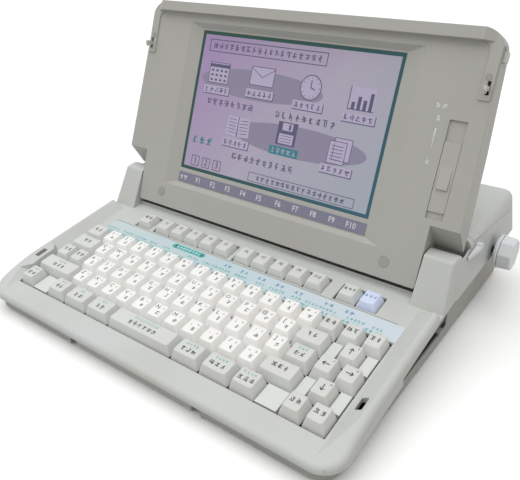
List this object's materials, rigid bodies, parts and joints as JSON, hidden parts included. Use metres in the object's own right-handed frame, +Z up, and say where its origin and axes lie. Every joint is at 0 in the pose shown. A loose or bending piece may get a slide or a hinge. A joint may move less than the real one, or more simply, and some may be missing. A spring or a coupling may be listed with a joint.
{
  "type": "portable word processor",
  "caption": "Portable word processor with a tilted keyboard, a hinged display lid, a side disk drive and a built-in printer under a rear cover.",
  "frame": {"origin": "centre of the bounding box in plan, on the surface the feet stand on", "axes": "+Z up, +X to the user's right, front of the keyboard towards -Y"},
  "size_m": [0.3903, 0.3296, 0.2402],
  "materials": {
    "case_gray": "light gray moulded plastic, fine grain",
    "lid_gray": "warm gray moulded plastic, fine grain",
    "key_gray": "light gray key plastic",
    "key_white": "near white key plastic",
    "key_blue": "pale blue key plastic",
    "latch_plastic": "gray moulded plastic",
    "rubber": "dark rubber",
    "cap_rubber": "gray soft cap",
    "platen_rubber": "ground black rubber",
    "circuit_board": "green solder mask",
    "sheet_steel": "zinc plated sheet",
    "black_plastic": "black moulded plastic",
    "frame_plastic": "dark plastic",
    "switch_film": "printed film",
    "filler_plastic": "light gray plastic",
    "strip_film": "pale blue printed film",
    "drive_metal": "formed metal housing",
    "button_gray": "gray plastic",
    "polished_rod": "ground steel rod",
    "lcd_glass": "display panel with a front film",
    "label_violet": "violet gray printed film",
    "knob_plastic": "pale bluish gray plastic"
  },
  "bodies": {
    "base": {"upper_case": "case_gray", "lower_case": "case_gray", "rubber_feet": "rubber", "main_circuit_board": "circuit_board", "power_supply": "sheet_steel", "power_inlet": "black_plastic", "keyboard_frame": "frame_plastic", "key_switch_sheet": "switch_film", "filler_plates": "filler_plastic", "label_strip": "strip_film", "floppy_drive": "drive_metal", "floppy_drive_cover": "drive_metal", "floppy_bezel": "black_plastic", "printer_side_plates": "sheet_steel", "carriage_rails": "polished_rod", "feed_motor": "sheet_steel", "hinge_pins": "polished_rod"},
    "lid": {"lid_front_bezel": "lid_gray", "lid_back_cover": "lid_gray", "lcd_panel": "lcd_glass", "function_label_strip": "label_violet", "lid_rubber_caps": "cap_rubber"},
    "contrast_slider": {"contrast_slider": "lid_gray"},
    "latch_slide": {"latch_slide": "latch_plastic"},
    "printer_cover": {"printer_cover": "case_gray"},
    "paper_release_lever": {"paper_release_lever": "knob_plastic"},
    "platen": {"platen_roller": "platen_rubber", "platen_knob": "knob_plastic"},
    "print_carriage": {"print_carriage": "black_plastic", "ribbon_cassette": "black_plastic"},
    "carry_handle": {"carry_handle": "case_gray"},
    "eject_button": {"eject_button": "button_gray"},
    "power_switch": {"power_switch": "black_plastic"},
    "letter_keys_row_1": {"letter_keys_row_1": "key_white"},
    "letter_keys_row_2": {"letter_keys_row_2": "key_white"},
    "letter_keys_row_3": {"letter_keys_row_3": "key_white"},
    "number_keys_row_4": {"number_keys_row_4": "key_white"},
    "space_bar": {"space_bar": "key_gray"},
    "bottom_keys_left": {"bottom_keys_left": "key_gray"},
    "bottom_keys_right": {"bottom_keys_right": "key_gray"},
    "corner_keys": {"corner_keys": "key_gray"},
    "left_shift_key": {"left_shift_key": "key_gray"},
    "right_shift_key": {"right_shift_key": "key_gray"},
    "arrow_down_key": {"arrow_down_key": "key_gray"},
    "mode_keys_left": {"mode_keys_left": "key_gray"},
    "delete_key": {"delete_key": "key_gray"},
    "arrow_left_key": {"arrow_left_key": "key_gray"},
    "arrow_right_key": {"arrow_right_key": "key_gray"},
    "tab_key": {"tab_key": "key_gray"},
    "return_key": {"return_key": "key_gray"},
    "arrow_up_key": {"arrow_up_key": "key_gray"},
    "escape_key": {"escape_key": "key_gray"},
    "edit_keys_row_4": {"edit_keys_row_4": "key_gray"},
    "function_key_single": {"function_key_single": "key_gray"},
    "function_keys_f1_f5": {"function_keys_f1_f5": "key_gray"},
    "function_keys_f6_f10": {"function_keys_f6_f10": "key_gray"},
    "file_key": {"file_key": "key_gray"},
    "help_key": {"help_key": "key_blue"}
  },
  "joints": [
    {"name": "lid_hinge", "type": "hinge", "parent": "base", "child": "lid", "pos_m": [-0.0095, 0.02376, 0.06735], "axis": [1, 0, 0], "range_deg": [0, 120]},
    {"name": "contrast_slide", "type": "slide", "parent": "lid", "child": "contrast_slider", "axis": [0, 0.3714, 0.9285], "range_m": [-0.005, 0.0155]},
    {"name": "latch_slide", "type": "slide", "parent": "lid", "child": "latch_slide", "axis": [0, 0.3714, 0.9285], "range_m": [0, 0.0035], "stiffness_N_per_m": 400, "springref_m": -0.002},
    {"name": "printer_cover_hinge", "type": "hinge", "parent": "base", "child": "printer_cover", "pos_m": [-0.0095, 0.15991, 0.07029], "axis": [-1, 0, 0], "range_deg": [0, 55]},
    {"name": "paper_release", "type": "hinge", "parent": "base", "child": "paper_release_lever", "pos_m": [0.1733, 0.06118, 0.07389], "axis": [-1, 0, 0], "range_deg": [0, 25]},
    {"name": "platen_turn", "type": "hinge", "parent": "base", "child": "platen", "pos_m": [-0.0095, 0.10286, 0.0511], "axis": [1, 0, 0], "continuous": true},
    {"name": "carriage_travel", "type": "slide", "parent": "base", "child": "print_carriage", "axis": [1, 0, 0], "range_m": [-0.11, 0.11]},
    {"name": "handle_pull", "type": "slide", "parent": "base", "child": "carry_handle", "axis": [0, -1, 0], "range_m": [0, 0.032]},
    {"name": "eject_press", "type": "slide", "parent": "base", "child": "eject_button", "axis": [-1, 0, 0], "range_m": [0, 0.004], "stiffness_N_per_m": 300, "springref_m": -0.001},
    {"name": "power_rocker", "type": "hinge", "parent": "base", "child": "power_switch", "pos_m": [-0.1045, 0.15702, 0.02], "axis": [1, 0, 0], "range_deg": [-8, 8]},
    {"name": "letter_keys_row_1_press", "type": "slide", "parent": "base", "child": "letter_keys_row_1", "axis": [0, 0.1426, -0.9898], "range_m": [0, 0.0025], "stiffness_N_per_m": 2640, "springref_m": -0.001},
    {"name": "letter_keys_row_2_press", "type": "slide", "parent": "base", "child": "letter_keys_row_2", "axis": [0, 0.1426, -0.9898], "range_m": [0, 0.0025], "stiffness_N_per_m": 2880, "springref_m": -0.001},
    {"name": "letter_keys_row_3_press", "type": "slide", "parent": "base", "child": "letter_keys_row_3", "axis": [0, 0.1426, -0.9898], "range_m": [0, 0.0025], "stiffness_N_per_m": 2880, "springref_m": -0.001},
    {"name": "number_keys_row_4_press", "type": "slide", "parent": "base", "child": "number_keys_row_4", "axis": [0, 0.1426, -0.9898], "range_m": [0, 0.0025], "stiffness_N_per_m": 3120, "springref_m": -0.001},
    {"name": "space_bar_press", "type": "slide", "parent": "base", "child": "space_bar", "axis": [0, 0.1426, -0.9898], "range_m": [0, 0.0025], "stiffness_N_per_m": 240, "springref_m": -0.001},
    {"name": "bottom_keys_left_press", "type": "slide", "parent": "base", "child": "bottom_keys_left", "axis": [0, 0.1426, -0.9898], "range_m": [0, 0.0025], "stiffness_N_per_m": 960, "springref_m": -0.001},
    {"name": "bottom_keys_right_press", "type": "slide", "parent": "base", "child": "bottom_keys_right", "axis": [0, 0.1426, -0.9898], "range_m": [0, 0.0025], "stiffness_N_per_m": 720, "springref_m": -0.001},
    {"name": "corner_keys_press", "type": "slide", "parent": "base", "child": "corner_keys", "axis": [0, 0.1426, -0.9898], "range_m": [0, 0.0025], "stiffness_N_per_m": 480, "springref_m": -0.001},
    {"name": "left_shift_key_press", "type": "slide", "parent": "base", "child": "left_shift_key", "axis": [0, 0.1426, -0.9898], "range_m": [0, 0.0025], "stiffness_N_per_m": 240, "springref_m": -0.001},
    {"name": "right_shift_key_press", "type": "slide", "parent": "base", "child": "right_shift_key", "axis": [0, 0.1426, -0.9898], "range_m": [0, 0.0025], "stiffness_N_per_m": 240, "springref_m": -0.001},
    {"name": "arrow_down_key_press", "type": "slide", "parent": "base", "child": "arrow_down_key", "axis": [0, 0.1426, -0.9898], "range_m": [0, 0.0025], "stiffness_N_per_m": 240, "springref_m": -0.001},
    {"name": "mode_keys_left_press", "type": "slide", "parent": "base", "child": "mode_keys_left", "axis": [0, 0.1426, -0.9898], "range_m": [0, 0.0025], "stiffness_N_per_m": 480, "springref_m": -0.001},
    {"name": "delete_key_press", "type": "slide", "parent": "base", "child": "delete_key", "axis": [0, 0.1426, -0.9898], "range_m": [0, 0.0025], "stiffness_N_per_m": 240, "springref_m": -0.001},
    {"name": "arrow_left_key_press", "type": "slide", "parent": "base", "child": "arrow_left_key", "axis": [0, 0.1426, -0.9898], "range_m": [0, 0.0025], "stiffness_N_per_m": 240, "springref_m": -0.001},
    {"name": "arrow_right_key_press", "type": "slide", "parent": "base", "child": "arrow_right_key", "axis": [0, 0.1426, -0.9898], "range_m": [0, 0.0025], "stiffness_N_per_m": 240, "springref_m": -0.001},
    {"name": "tab_key_press", "type": "slide", "parent": "base", "child": "tab_key", "axis": [0, 0.1426, -0.9898], "range_m": [0, 0.0025], "stiffness_N_per_m": 240, "springref_m": -0.001},
    {"name": "return_key_press", "type": "slide", "parent": "base", "child": "return_key", "axis": [0, 0.1426, -0.9898], "range_m": [0, 0.0025], "stiffness_N_per_m": 240, "springref_m": -0.001},
    {"name": "arrow_up_key_press", "type": "slide", "parent": "base", "child": "arrow_up_key", "axis": [0, 0.1426, -0.9898], "range_m": [0, 0.0025], "stiffness_N_per_m": 240, "springref_m": -0.001},
    {"name": "escape_key_press", "type": "slide", "parent": "base", "child": "escape_key", "axis": [0, 0.1426, -0.9898], "range_m": [0, 0.0025], "stiffness_N_per_m": 240, "springref_m": -0.001},
    {"name": "edit_keys_row_4_press", "type": "slide", "parent": "base", "child": "edit_keys_row_4", "axis": [0, 0.1426, -0.9898], "range_m": [0, 0.0025], "stiffness_N_per_m": 720, "springref_m": -0.001},
    {"name": "function_key_single_press", "type": "slide", "parent": "base", "child": "function_key_single", "axis": [0, 0.1426, -0.9898], "range_m": [0, 0.0025], "stiffness_N_per_m": 240, "springref_m": -0.001},
    {"name": "function_keys_f1_f5_press", "type": "slide", "parent": "base", "child": "function_keys_f1_f5", "axis": [0, 0.1426, -0.9898], "range_m": [0, 0.0025], "stiffness_N_per_m": 1200, "springref_m": -0.001},
    {"name": "function_keys_f6_f10_press", "type": "slide", "parent": "base", "child": "function_keys_f6_f10", "axis": [0, 0.1426, -0.9898], "range_m": [0, 0.0025], "stiffness_N_per_m": 1200, "springref_m": -0.001},
    {"name": "file_key_press", "type": "slide", "parent": "base", "child": "file_key", "axis": [0, 0.1426, -0.9898], "range_m": [0, 0.0025], "stiffness_N_per_m": 240, "springref_m": -0.001},
    {"name": "help_key_press", "type": "slide", "parent": "base", "child": "help_key", "axis": [0, 0.1426, -0.9898], "range_m": [0, 0.0025], "stiffness_N_per_m": 240, "springref_m": -0.001}
  ]
}
